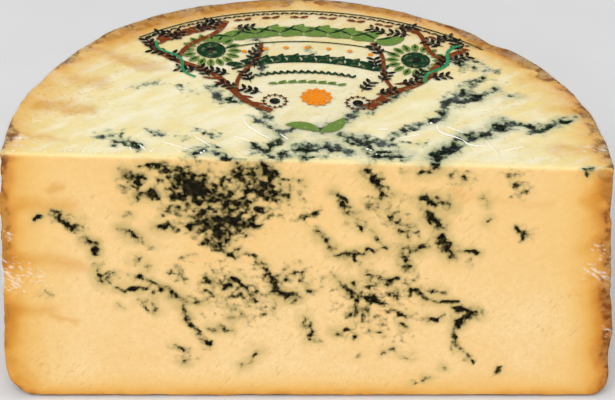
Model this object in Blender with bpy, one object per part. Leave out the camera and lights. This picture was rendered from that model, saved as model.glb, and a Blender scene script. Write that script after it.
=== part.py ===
"""Half a slice of a drum of blue stilton in its clear wrap, with a sector of a round label on the top.

The drum stood upright. It was cut level, which made the top face here, and then cut down through its middle,
which made the flat front. The crust is left on the round side and on the base.

Metres, +Z up. The origin is the middle of the base's box, on the surface it stands on. The front faces -Y.
"""

import math

import bmesh
import bpy
from mathutils import Matrix, Vector, noise

# The drum and the slice
DRUM_RADIUS = 0.100  # at the upper cut
SLICE_HEIGHT = 0.097  # in the middle of the upper cut
TOP_FALL = 0.031  # the upper cut drops by this share of the way towards +X
FOOT_SPREAD = 0.0022  # how much wider the drum has settled at its foot
FOOT_ROUNDING = 0.009  # radius of the crust's lower corner
FOOT_ROUNDING_VARIES = 0.0015
AXIS_Y = -0.0509  # the drum's axis, and so the front cut

# Swells and dents of the round side, which fade downwards: angle from +X and half width in degrees, height
SIDE_SWELLS = (
    (122, 17, 0.0015),
    (71, 14, -0.0011),
    (156, 9, -0.0007),
    (51, 3.5, -0.0022),
)

# Relief, as lumps of noise: size across, height
CRUST_LUMPS = ((0.034, 0.0014), (0.013, 0.0011), (0.006, 0.0007))
CUT_LUMPS = ((0.045, 0.0007), (0.016, 0.0003))

# The label: a sector cut from a round one, so its arc follows the drum
LABEL_TIP = Vector((0.004, 0.012))  # where its two sides would meet, from the drum's axis
LABEL_SIDES = (math.radians(48.8), math.radians(136.4))
LABEL_ARC_RADIUS = 0.0945  # round the drum's axis
LABEL_TIP_ROUNDING = 0.006
LABEL_THICKNESS = 0.0003
LABEL_GAP = 0.0003

# How finely the faces are divided
ACROSS, DEEP = 50, 24
FOOT_ROWS, WALL_ROWS = 4, 17
LABEL_SPOKES, LABEL_RINGS = 14, 12

PASTE_COLOUR = (0.86, 0.60, 0.25, 1.0)
LABEL_COLOUR = (0.45, 0.50, 0.25, 1.0)


def clear_scene():
    for obj in list(bpy.data.objects):
        bpy.data.objects.remove(obj)


def plain_material(name, colour, roughness):
    material = bpy.data.materials.new(name)
    material.use_nodes = True
    shader = material.node_tree.nodes["Principled BSDF"]
    shader.inputs["Base Color"].default_value = colour
    shader.inputs["Roughness"].default_value = roughness
    shader.inputs["Metallic"].default_value = 0.0
    return material


def relief(lumps, place):
    """The sum of smooth noise at each of the sizes given, at a place on the surface."""
    return sum(height * noise.noise(place / size) for size, height in lumps)


def side_radius(angle, z):
    """The drum's radius at an angle from +X and a height: round, wider towards its foot, and lumpy."""
    degrees = math.degrees(angle)
    share_up = z / SLICE_HEIGHT
    radius = DRUM_RADIUS + FOOT_SPREAD * (1 - share_up)
    for middle, half_width, height in SIDE_SWELLS:
        radius += height * share_up * math.exp(-(((degrees - middle) / half_width) ** 2))
    place = Vector((DRUM_RADIUS * math.cos(angle), DRUM_RADIUS * math.sin(angle), z))
    return radius + relief(CRUST_LUMPS, place)


def top_height(x, y):
    """The height of the upper cut over a point measured from the drum's axis."""
    return SLICE_HEIGHT - TOP_FALL * x + relief(CUT_LUMPS, Vector((x, y, 0)))


def foot_rounding(angle):
    return FOOT_ROUNDING - FOOT_ROUNDING_VARIES * math.cos(angle)


def on_half_disc(across, deep):
    """Takes the rectangle -1..1 by 0..1 onto half the unit disc, its front side onto the diameter."""
    return across * math.sqrt(1 - deep**2 / 2), deep * math.sqrt(1 - across**2 / 2)


def slice_point(across, deep, row):
    """The place of one corner of the divided block on the half drum."""
    u, v = on_half_disc(across, deep)
    angle = math.atan2(v, u)
    rounding = foot_rounding(angle)
    top = top_height(u * DRUM_RADIUS, v * DRUM_RADIUS)
    if row <= FOOT_ROWS:
        turn = math.pi / 2 * row / FOOT_ROWS
        z, inset = rounding * (1 - math.cos(turn)), rounding * (1 - math.sin(turn))
    else:
        z = rounding + (top - rounding) * (row - FOOT_ROWS) / WALL_ROWS
        inset = 0.0
    radius = side_radius(angle, z) - inset
    x, y = u * radius, v * radius
    if deep == 0:
        y += relief(CUT_LUMPS, Vector((x, 0, z)))
    return Vector((x, y + AXIS_Y, z))


def add_block_face(bm, corner, across, up, cells_across, cells_up):
    """One side of a block, divided into cells: corner is its corner, and across and up are its edges."""
    middle = corner + (across + up) / 2
    turn = Matrix((across / 2, up / 2, across.cross(up))).transposed()
    bmesh.ops.create_grid(
        bm,
        x_segments=cells_across,
        y_segments=cells_up,
        size=1.0,
        matrix=Matrix.Translation(middle) @ turn.to_4x4(),
    )


def build_cheese():
    """A block whose six sides are divided into cells, each corner then moved onto the half drum."""
    rows = FOOT_ROWS + WALL_ROWS
    start = Vector((-1, 0, 0))
    x, y, z = Vector((2, 0, 0)), Vector((0, 1, 0)), Vector((0, 0, 1))
    bm = bmesh.new()
    for corner in (start, start + y):
        add_block_face(bm, corner, x, z, ACROSS, rows)
    for corner in (start, start + x):
        add_block_face(bm, corner, y, z, DEEP, rows)
    for corner in (start, start + z):
        add_block_face(bm, corner, x, y, ACROSS, DEEP)
    bmesh.ops.remove_doubles(bm, verts=bm.verts, dist=1e-4)
    for vertex in bm.verts:
        across, deep, share = vertex.co
        on_front = deep < 0.5 / DEEP
        vertex.co = slice_point(across, 0 if on_front else deep, round(share * rows))
    bmesh.ops.recalc_face_normals(bm, faces=bm.faces)
    mesh = bpy.data.meshes.new("cheese")
    bm.to_mesh(mesh)
    bm.free()
    mesh.shade_smooth()
    mesh.set_sharp_from_angle(angle=math.radians(50))
    mesh.materials.append(plain_material("paste", PASTE_COLOUR, 0.45))
    cheese = bpy.data.objects.new("cheese", mesh)
    bpy.context.collection.objects.link(cheese)
    return cheese


def reach_of_label(angle):
    """How far the arc is from the tip in one direction: where a ray from the tip meets the arc's circle."""
    way = Vector((math.cos(angle), math.sin(angle)))
    along = LABEL_TIP.dot(way)
    return -along + math.sqrt(along**2 + LABEL_ARC_RADIUS**2 - LABEL_TIP.length_squared)


def tip_of_label(angle):
    """Where the rounded tip starts in one direction: the near side of a circle that touches both sides."""
    low, high = LABEL_SIDES
    half = (high - low) / 2
    turn = angle - low - half
    centre = LABEL_TIP_ROUNDING / math.sin(half)
    across = centre * math.sin(turn)
    return centre * math.cos(turn) - math.sqrt(max(0.0, LABEL_TIP_ROUNDING**2 - across**2))


def label_point(spoke, ring):
    """A corner of the label's sheet: spokes fan out from the tip, rings run from the tip to the arc."""
    low, high = LABEL_SIDES
    angle = low + (high - low) * spoke / LABEL_SPOKES
    start = tip_of_label(angle)
    distance = start + (reach_of_label(angle) - start) * ring / LABEL_RINGS
    x = LABEL_TIP.x + distance * math.cos(angle)
    y = LABEL_TIP.y + distance * math.sin(angle)
    return Vector((x, y + AXIS_Y, top_height(x, y) + LABEL_GAP))


def build_label():
    """A thin sheet over the upper cut, given its thickness by Solidify."""
    bm = bmesh.new()
    sheet = [
        [bm.verts.new(label_point(spoke, ring)) for ring in range(LABEL_RINGS + 1)]
        for spoke in range(LABEL_SPOKES + 1)
    ]
    for first, second in zip(sheet, sheet[1:]):
        for ring in range(LABEL_RINGS):
            bm.faces.new((first[ring], first[ring + 1], second[ring + 1], second[ring]))
    mesh = bpy.data.meshes.new("label")
    bm.to_mesh(mesh)
    bm.free()
    mesh.materials.append(plain_material("label", LABEL_COLOUR, 0.25))
    label = bpy.data.objects.new("label", mesh)
    bpy.context.collection.objects.link(label)
    solid = label.modifiers.new("thickness", "SOLIDIFY")
    solid.thickness = LABEL_THICKNESS
    solid.offset = 1.0
    solid.use_even_offset = True
    return label


def main():
    clear_scene()
    build_cheese()
    build_label()


main()
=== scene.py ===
# %% [markdown]
# # Half a slice of blue stilton in clear film
#
# The object is a drum-shaped cheese, cut level and then cut down through its middle. What is left is half a
# drum: two cut faces full of blue veins, a brown crust on the round side and on the base, tight clear film
# round it all, and a quarter of a round printed label on top. The frame gives two plain solids, `cheese`
# and `label`. This lesson keeps their sizes and replaces their surfaces with finer ones.

import bpy
import numpy as np
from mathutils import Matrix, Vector


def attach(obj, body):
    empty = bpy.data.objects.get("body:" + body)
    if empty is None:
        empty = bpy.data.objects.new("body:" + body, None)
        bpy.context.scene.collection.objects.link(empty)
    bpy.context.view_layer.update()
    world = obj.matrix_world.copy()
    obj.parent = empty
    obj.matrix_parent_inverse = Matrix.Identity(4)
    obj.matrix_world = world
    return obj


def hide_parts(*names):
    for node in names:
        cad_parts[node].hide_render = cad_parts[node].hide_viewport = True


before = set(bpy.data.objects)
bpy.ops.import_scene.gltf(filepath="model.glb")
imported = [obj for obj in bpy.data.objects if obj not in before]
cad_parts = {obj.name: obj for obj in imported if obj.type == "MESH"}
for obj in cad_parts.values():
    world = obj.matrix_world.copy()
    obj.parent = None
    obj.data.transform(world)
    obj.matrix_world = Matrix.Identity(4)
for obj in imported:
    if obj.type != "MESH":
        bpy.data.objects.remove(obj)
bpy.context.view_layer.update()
MM = 0.001

# %% [markdown]
# ## The studio
#
# A long lens far away keeps the two ends of the cut the same size, as a product photograph does. The camera
# looks down on the middle of the front's upper edge and is then tipped a little lower, so that the whole
# front fits. One hard lamp would leave a black shadow and a glare on the film. Soft panels light it instead:
# a wide one over the front, a low one before it, one at each side, and one behind, which the film on the
# upper cut mirrors as a faint haze.

# %% Sizes of the slice, and the camera
DRUM_RADIUS = 100 * MM
SLICE_HEIGHT = 97 * MM
AXIS_Y = -50.9 * MM  # the drum's axis, and so the plane of the front cut
CAMERA_DISTANCE = 1.4
CAMERA_ELEVATION = np.radians(33.8)
CAMERA_DIP = np.radians(0.516)
FOCAL_LENGTH = 248.5  # for a sensor 36 mm wide
PANELS_FACE = Vector((0, 0, 50 * MM))

scene = bpy.context.scene
scene.view_settings.view_transform = "Standard"


def link(obj):
    scene.collection.objects.link(obj)
    return obj


def add_camera():
    """The camera stands back from what it looks at, along a line that rises at its elevation."""
    aim = Vector((0, AXIS_Y, SLICE_HEIGHT))
    back = Vector((0, -np.cos(CAMERA_ELEVATION), np.sin(CAMERA_ELEVATION)))
    camera = link(bpy.data.objects.new("camera", bpy.data.cameras.new("camera")))
    camera.data.lens = FOCAL_LENGTH
    camera.data.clip_start = 0.05
    camera.location = aim + back * CAMERA_DISTANCE
    camera.rotation_euler = (np.pi / 2 - CAMERA_ELEVATION - CAMERA_DIP, 0, 0)
    scene.camera = camera


def add_panel(name, place, size, power):
    """A soft light panel, turned towards the middle of the cheese."""
    light = bpy.data.lights.new(name, "AREA")
    light.shape = "RECTANGLE"
    light.size, light.size_y = size
    light.energy = power
    panel = link(bpy.data.objects.new(name, light))
    panel.location = place
    panel.rotation_euler = (PANELS_FACE - Vector(place)).to_track_quat("-Z", "Y").to_euler()


add_camera()
add_panel("panel over the front", (-0.25, -1.1, 1.25), (1.0, 0.8), 13)
add_panel("panel low in front", (0.1, -1.3, 0.3), (0.8, 0.4), 2.5)
add_panel("panel at the left", (-1.2, -0.2, 0.7), (0.7, 0.7), 5)
add_panel("panel at the right", (1.2, -0.3, 0.6), (0.7, 0.7), 5)
add_panel("panel behind", (0.1, 0.9, 1.6), (1.2, 0.6), 5)

world = bpy.data.worlds.new("studio")
world.use_nodes = True
world.node_tree.nodes["Background"].inputs["Color"].default_value = (0.9, 0.93, 1.0, 1)
world.node_tree.nodes["Background"].inputs["Strength"].default_value = 0.35
scene.world = world

# %% [markdown]
# ## Helpers for materials
#
# A node tree is easier to read when each node is one call: the kind of node, its settings, and what goes
# into its sockets, which is a number, a colour or another node's output. `add_group` makes a node group
# with named inputs and outputs, so that an effect is built once and used in several materials.


# %% Short ways to write nodes
def node(tree, kind, inputs=None, **settings):
    """Adds a node. An input is a plain value, or the socket that feeds it."""
    made = tree.nodes.new("ShaderNode" + kind)
    for name, value in settings.items():
        setattr(made, name, value)
    for name, value in (inputs or {}).items():
        if isinstance(value, bpy.types.NodeSocket):
            tree.links.new(value, made.inputs[name])
        else:
            made.inputs[name].default_value = value
    return made


def math(tree, operation, *values):
    return node(tree, "Math", dict(enumerate(values)), operation=operation).outputs[0]


def between(tree, value, low, high, to_low=0.0, to_high=1.0):
    """A smooth Map Range: value's way from low to high, as a number from to_low to to_high."""
    sockets = {"Value": value, "From Min": low, "From Max": high, "To Min": to_low, "To Max": to_high}
    return node(tree, "MapRange", sockets, interpolation_type="SMOOTHSTEP").outputs["Result"]


def mixed(tree, share, first, second):
    """The two colours mixed: share 0 gives the first and 1 the second."""
    made = node(tree, "Mix", data_type="RGBA")
    for socket, value in zip((made.inputs[0], made.inputs[6], made.inputs[7]), (share, first, second)):
        if isinstance(value, bpy.types.NodeSocket):
            tree.links.new(value, socket)
        else:
            socket.default_value = value
    return made.outputs[2]


def rgb(red, green, blue):
    """A colour from the 0 to 255 values that it shows on a screen, as the linear numbers that shaders use."""
    screen = np.array((red, green, blue)) / 255
    linear = np.where(screen <= 0.04045, screen / 12.92, ((screen + 0.055) / 1.055) ** 2.4)
    return (*linear.tolist(), 1.0)


def add_group(name, inputs, outputs):
    """A node group with float inputs {name: default} and outputs {name: kind}."""
    tree = bpy.data.node_groups.new(name, "ShaderNodeTree")
    for label, default in inputs.items():
        socket = tree.interface.new_socket(label, in_out="INPUT", socket_type="NodeSocketFloat")
        socket.default_value = default
    for label, kind in outputs.items():
        tree.interface.new_socket(label, in_out="OUTPUT", socket_type="NodeSocket" + kind)
    return tree, tree.nodes.new("NodeGroupInput").outputs, tree.nodes.new("NodeGroupOutput").inputs


def add_material(name):
    """A new material's tree and its Principled shader."""
    material = bpy.data.materials.new(name)
    material.use_nodes = True
    return material, material.node_tree, material.node_tree.nodes["Principled BSDF"].inputs


def attribute(tree, name):
    """A number that the mesh keeps for each point."""
    return node(tree, "Attribute", attribute_name=name).outputs["Fac"]


def place_on_object(tree):
    return node(tree, "TexCoord").outputs["Object"]


def ramp(tree, value, stops):
    """A colour by value: the stops are (value, red, green, blue), and the first is at 0."""
    deepest = stops[-1][0]
    made = node(tree, "ValToRGB", {"Fac": math(tree, "DIVIDE", value, deepest)})
    elements = made.color_ramp.elements
    for stop in stops[1:-1]:
        elements.new(stop[0] / deepest)
    for element, stop in zip(elements, stops):
        element.color = rgb(*stop[1:])
    return made.outputs["Color"]


def noise(tree, size, detail=2.0, roughness=0.5, place=None):
    """Noise from 0 to 1 with lumps of the given size in metres."""
    sockets = {"Vector": place or place_on_object(tree), "Detail": detail, "Roughness": roughness}
    made = node(tree, "TexNoise", sockets)
    if isinstance(size, bpy.types.NodeSocket):
        tree.links.new(math(tree, "DIVIDE", 1.0, size), made.inputs["Scale"])
    else:
        made.inputs["Scale"].default_value = 1 / size
    return made.outputs["Fac"]


# %% [markdown]
# ## Streaks
#
# The knife drags the crumb, and the film is stretched tight, so the cheese and the film both need noise that
# runs in long slanted streaks: knife marks and a painted sheen in the cheese's colour, creases and a painted
# sheen in the film's white haze. Two materials use it, so it is one node group: the object's coordinates are
# turned and then squeezed along x, which stretches the noise that way.


# %% Group: streaks
def streaks_group():
    """Noise in streaks, whose direction is set by turns about y and z, in radians."""
    numbers = {"Size": 1 * MM, "Squeeze": 1.0, "Turn Y": 0.0, "Turn Z": 0.0}
    tree, given, result = add_group("streaks", numbers, {"Value": "Float"})
    turn = node(tree, "CombineXYZ", {"Y": given["Turn Y"], "Z": given["Turn Z"]}).outputs[0]
    sockets = {"Vector": place_on_object(tree), "Rotation": turn}
    turned = node(tree, "VectorRotate", sockets, rotation_type="EULER_XYZ").outputs[0]
    squeeze = node(tree, "CombineXYZ", {"X": given["Squeeze"], "Y": 1.0, "Z": 1.0}).outputs[0]
    squeezed = node(tree, "VectorMath", {0: turned, 1: squeeze}, operation="MULTIPLY").outputs[0]
    tree.links.new(noise(tree, given["Size"], 2.0, 0.5, squeezed), result["Value"])
    return tree


STREAKS_GROUP = streaks_group()


def streaky(tree, size, squeeze, turn_y=0, turn_z=0):
    """The streaks in a material. The turns are in degrees."""
    made = node(tree, "Group", node_tree=STREAKS_GROUP)
    numbers = {"Size": size, "Squeeze": squeeze, "Turn Y": np.radians(turn_y), "Turn Z": np.radians(turn_z)}
    for name, number in numbers.items():
        made.inputs[name].default_value = number
    return made.outputs["Value"]


print("streaks group:", len(STREAKS_GROUP.nodes), "nodes")

# %% [markdown]
# ## The floor
#
# A plain pale sheet, not part of the object. It lies a hair under the film, so that the two don't fight for
# the same plane. A faint grain keeps it from being one dead value.


# %% Make the floor
FLOOR_HALF = 3.0
FLOOR_LEVEL = -0.2 * MM


def add_floor():
    mesh = bpy.data.meshes.new("floor")
    corners = FLOOR_HALF * np.array(((-1, -1), (1, -1), (1, 1), (-1, 1)))
    mesh.from_pydata([(x, y, FLOOR_LEVEL) for x, y in corners], [], [(0, 1, 2, 3)])
    floor = link(bpy.data.objects.new("floor", mesh))
    material, tree, sockets = add_material("pale floor")
    grain = noise(tree, 30 * MM)
    tree.links.new(mixed(tree, grain, rgb(226, 225, 222), rgb(232, 231, 229)), sockets["Base Color"])
    sockets["Roughness"].default_value = 0.7
    mesh.materials.append(material)


add_floor()
print("floor:", 2 * FLOOR_HALF, "m wide")

# %% [markdown]
# ## A half drum from a block
#
# A half drum could be cut from a cylinder, but its round caps would be fans of slivers that take no relief.
# A closed surface of even cells is easier to get from a block whose six sides are divided like graph paper.
# Each point of that lattice is then moved onto the half drum. The front and the top are what the viewer
# studies, so they keep every cell, and the other four sides merge their cells two by two. Where a merged
# cell meets a fine one, it takes in the point between its corners, so nothing gapes.

# %% Divide a block
CELLS = np.array((280, 110, 132))  # across, deep, up
FOOT_ROWS = 18  # how many of the rows up go round the lower corner
RING = np.array(((0, 0), (1, 0), (2, 0), (2, 1), (2, 2), (1, 2), (0, 2), (0, 1)))  # round a merged cell


def side_of_block(cells, axis, at_end, step):
    """One side's cells, each a ring of lattice points that runs anticlockwise, seen from outside."""
    first, second = (other for other in range(3) if other != axis)
    starts = np.meshgrid(np.arange(0, cells[first], step), np.arange(0, cells[second], step), indexing="ij")
    ring = RING if step == 2 else RING[::2] // 2
    rings = np.stack(starts, axis=-1).reshape(-1, 1, 2) + ring
    points = np.zeros(rings.shape[:2] + (3,), int)
    points[..., [first, second]] = rings
    points[..., axis] = cells[axis] * at_end
    if at_end == (axis == 1):
        points = np.roll(points[:, ::-1], 1, axis=1)
    return np.ravel_multi_index(points.reshape(-1, 3).T, cells + 1).reshape(points.shape[:2])


def skin_of_block(cells):
    """The closed skin: its lattice points, each face's corners in turn, and each face's count of corners."""
    fine = [side_of_block(cells, 1, 0, 1), side_of_block(cells, 2, 1, 1)]
    merged = [side_of_block(cells, axis, at_end, 2) for axis, at_end in ((0, 0), (0, 1), (1, 1), (2, 0))]
    kept_points = [side.ravel() for side in fine] + [side[:, ::2].ravel() for side in merged]
    used = np.unique(np.concatenate(kept_points))
    corners, counts = [], []
    for side in fine + merged:
        kept = np.isin(side, used)
        corners.append(side[kept])
        counts.append(kept.sum(axis=1))
    lattice = np.stack(np.unravel_index(used, cells + 1), axis=-1)
    return lattice, np.searchsorted(used, np.concatenate(corners)), np.concatenate(counts)


def mesh_of(name, points, corners, counts):
    """A smooth shaded mesh from arrays: points, the faces' corners in turn, and each face's count of them."""
    mesh = bpy.data.meshes.new(name)
    mesh.vertices.add(len(points))
    mesh.vertices.foreach_set("co", np.ascontiguousarray(points, np.float32).ravel())
    mesh.loops.add(len(corners))
    mesh.loops.foreach_set("vertex_index", corners.astype(np.int32))
    mesh.polygons.add(len(counts))
    mesh.polygons.foreach_set("loop_start", (np.cumsum(counts) - counts).astype(np.int32))
    mesh.update(calc_edges=True)
    mesh.shade_smooth()
    return mesh


lattice, face_corners, face_counts = skin_of_block(CELLS)
print("block:", len(lattice), "points,", int((face_counts - 2).sum()), "triangles")

# %% [markdown]
# ## Noise, and strokes drawn one by one
#
# Lumps, crags and ragged mould all start from one smooth noise function. Noise alone would put the veins
# anywhere, so what has a place of its own, such as a vein, a smear or a crease, is drawn as a stroke: a half
# width, a strength, and the points it runs through.


# %% Noise and strokes as arrays
NOISE_HEIGHTS = 4096
NOISE_SHIFT = 100  # in cubes, so that the grid's own origin isn't on the object
NOISE_PRIMES = (73856093, 19349663, 83492791)  # they mix up the three numbers of a corner


def smooth_noise(places, size, seed):
    """Noise from -1 to 1: each corner of a grid of cubes of the given size has a random height, and inside a
    cube the eight heights blend by smooth steps. The grid is turned at random, so it never lines up with the
    object."""
    random = np.random.default_rng(seed)
    heights = random.uniform(-1, 1, NOISE_HEIGHTS)
    turned, _ = np.linalg.qr(random.normal(size=(3, 3)))
    cube = np.asarray(places) @ turned / size + NOISE_SHIFT
    low = np.floor(cube).astype(np.int64)
    share = cube - low
    share = share * share * (3 - 2 * share)
    total = np.zeros(cube.shape[:-1])
    for corner in np.ndindex(2, 2, 2):
        mixed_up = np.bitwise_xor.reduce((low + corner) * NOISE_PRIMES, axis=-1)
        total += heights[mixed_up % NOISE_HEIGHTS] * np.where(corner, share, 1 - share).prod(axis=-1)
    return total


def lumps(places, sizes_and_heights, seed):
    """The sum of noise at each of the sizes, each with its own height."""
    return sum(
        height * smooth_noise(places, size, seed + turn)
        for turn, (size, height) in enumerate(sizes_and_heights)
    )


def smooth_step(value, low, high):
    """0 up to low and 1 from high on. In between, three times the share's square less twice its cube."""
    share = np.clip((value - low) / (high - low), 0, 1)
    return share * share * (3 - 2 * share)


def drawn(points, strokes, times=1.0, wider=0.0):
    """How strongly the strokes mark each point: a stroke's full strength on its line, falling evenly with the
    distance, to nothing at its half width and on to -1. Strokes and their widths are in millimetres. Each
    half width is first multiplied by times, and then wider is added."""
    marked = np.full(len(points), -1.0)
    for half_width, strength, *line in strokes:
        reach = (half_width * times + wider) * MM
        stops = np.array(line, float).reshape(-1, 2) * MM
        for start, end in zip(stops, stops[1:] if len(stops) > 1 else stops):
            way = end - start
            along = np.clip((points - start) @ way / max(way @ way, 1e-12), 0, 1)
            distance = np.linalg.norm(points - start - along[:, None] * way, axis=1)
            marked = np.maximum(marked, strength * (1 - distance / reach))
    return marked


# %% [markdown]
# ## The form of the half drum
#
# Everything that lies on the cheese uses this one form: the cheese itself, the film a hair above it, and
# the label. A point is given by its share of the way across, in and up the block. The rectangle of the plan
# becomes half a disc by the square-to-disc formula. The radius grows a little towards the foot, where the
# young cheese has settled, and it swells and dents round the side. Cut edges are softened by a small
# radius, which also gives each point its outward direction, along which relief is added.

# %% Form
TOP_FALL = 0.031  # the upper cut falls by this share of the way to the right
FOOT_SPREAD = 2.2 * MM  # how much wider the drum has settled at its foot
CRAG_ROOM = 1.0 * MM  # crags cut inwards, so the form they are cut into is this much wider all round
RIM_SPREAD = 1.1 * MM  # the rim of the upper cut stands out a little
FOOT_ROUNDING = 10.0 * MM  # the radius of the lower corner in the middle of the round side
FOOT_ROUNDING_VARIES = 2.2 * MM  # more at the left end, and less at the right
EDGE_ROUNDING = 1.2 * MM
SIDE_SWELLS = ((122, 17, 1.5), (90, 30, 0.8), (71, 14, -1.1), (156, 9, -0.7), (51, 3.5, -2.2))  # degrees, mm
CUT_LUMPS = ((45 * MM, 0.35 * MM), (16 * MM, 0.15 * MM))
SIDE_LUMPS = ((34 * MM, 0.7 * MM), (13 * MM, 0.55 * MM), (7 * MM, 0.35 * MM))


def side_radius(angle, z):
    """The drum's radius at an angle from the right end and a height: its plain radius, plus spreads that grow
    towards the foot and the rim, swells that are bell curves of the angle, and lumps."""
    share_up = z / SLICE_HEIGHT
    radius = DRUM_RADIUS + CRAG_ROOM + FOOT_SPREAD * (1 - share_up) + RIM_SPREAD * share_up
    for middle, half_width, height in SIDE_SWELLS:
        radius += height * MM * share_up * np.exp(-(((np.degrees(angle) - middle) / half_width) ** 2))
    places = np.stack((DRUM_RADIUS * np.cos(angle), DRUM_RADIUS * np.sin(angle), z), axis=-1)
    return radius + lumps(places, SIDE_LUMPS, seed=11)


def top_height(x, y):
    """The height of the upper cut over a point measured from the drum's axis: a tilted plane plus lumps."""
    return SLICE_HEIGHT - TOP_FALL * x + lumps(np.stack((x, y, 0 * x), axis=-1), CUT_LUMPS, seed=21)


def half_drum(lattice, cells, foot_rows):
    """Gives (places, outward directions, weights of front, top and crust, depth under the crust).

    The plan goes from rectangle to half disc, and is then as wide as the drum's radius at that angle and
    height. The first rows run round a quarter circle at the foot, and the rest go evenly up the wall. Within
    the rounding of an edge, a point moves in from the faces that meet there until it lies on a circle.
    """
    across, deep = (lattice / cells)[:, :2].T
    across = 2 * across - 1
    u, v = across * np.sqrt(1 - deep**2 / 2), deep * np.sqrt(1 - across**2 / 2)
    angle, out = np.arctan2(v, u), np.hypot(u, v)
    rows = lattice[:, 2]
    rounding = FOOT_ROUNDING - FOOT_ROUNDING_VARIES * np.cos(angle)
    turn = np.pi / 2 * np.clip(rows / foot_rows, 0, 1)
    top = top_height(u * DRUM_RADIUS, v * DRUM_RADIUS)
    wall = (rows - foot_rows) / (cells[2] - foot_rows)
    z = np.where(rows <= foot_rows, rounding * (1 - np.cos(turn)), rounding + (top - rounding) * wall)
    reach = side_radius(angle, z) - rounding * (1 - np.sin(turn))
    places = np.stack((u * reach, v * reach, z), axis=-1)

    side_depth = (1 - out) * reach
    depths = np.stack((places[:, 1], top - z, np.minimum(side_depth, z)), axis=-1)
    under_crust = np.minimum(side_depth, 2 * z + 2 * MM)
    outward = np.zeros((len(places), 3, 3))
    outward[:, 0, 1] = -1
    outward[:, 1] = np.array((TOP_FALL, 0, 1)) / np.hypot(1, TOP_FALL)
    side = np.stack((np.cos(angle) * np.sin(turn), np.sin(angle) * np.sin(turn), -np.cos(turn)), axis=-1)
    outward[:, 2] = np.where((z < side_depth)[:, None], (0, 0, -1), side)

    short = np.maximum(EDGE_ROUNDING - depths, 0)
    share = short / np.linalg.norm(short, axis=1, keepdims=True)
    inwards = np.where(short > 0, EDGE_ROUNDING * (1 - share) - depths, 0)
    places -= np.einsum("pf,pfc->pc", inwards, outward)
    normals = np.einsum("pf,pfc->pc", share, outward)
    normals /= np.linalg.norm(normals, axis=1, keepdims=True)
    places[:, 1] += AXIS_Y
    return places, normals, share**2, under_crust


places, normals, weights, under_crust = half_drum(lattice, CELLS, FOOT_ROWS)
print("form in mm:", (places.min(axis=0) / MM).round(1), (places.max(axis=0) / MM).round(1))

# %% [markdown]
# ## Where the mould grows
#
# Blue veins follow the cracks between the curds and the holes made by the piercing needles. On the front
# they hang down to the right from a dark heart at the upper left. On the top they run as two long branches
# at the right and as scattered flecks at the left. Each is drawn as a stroke. The strokes are bent by noise
# and broken up by finer noise, which leaves ragged flecks with paste between them. The results are kept as
# numbers at the points, because both the relief and the material need them.

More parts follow.
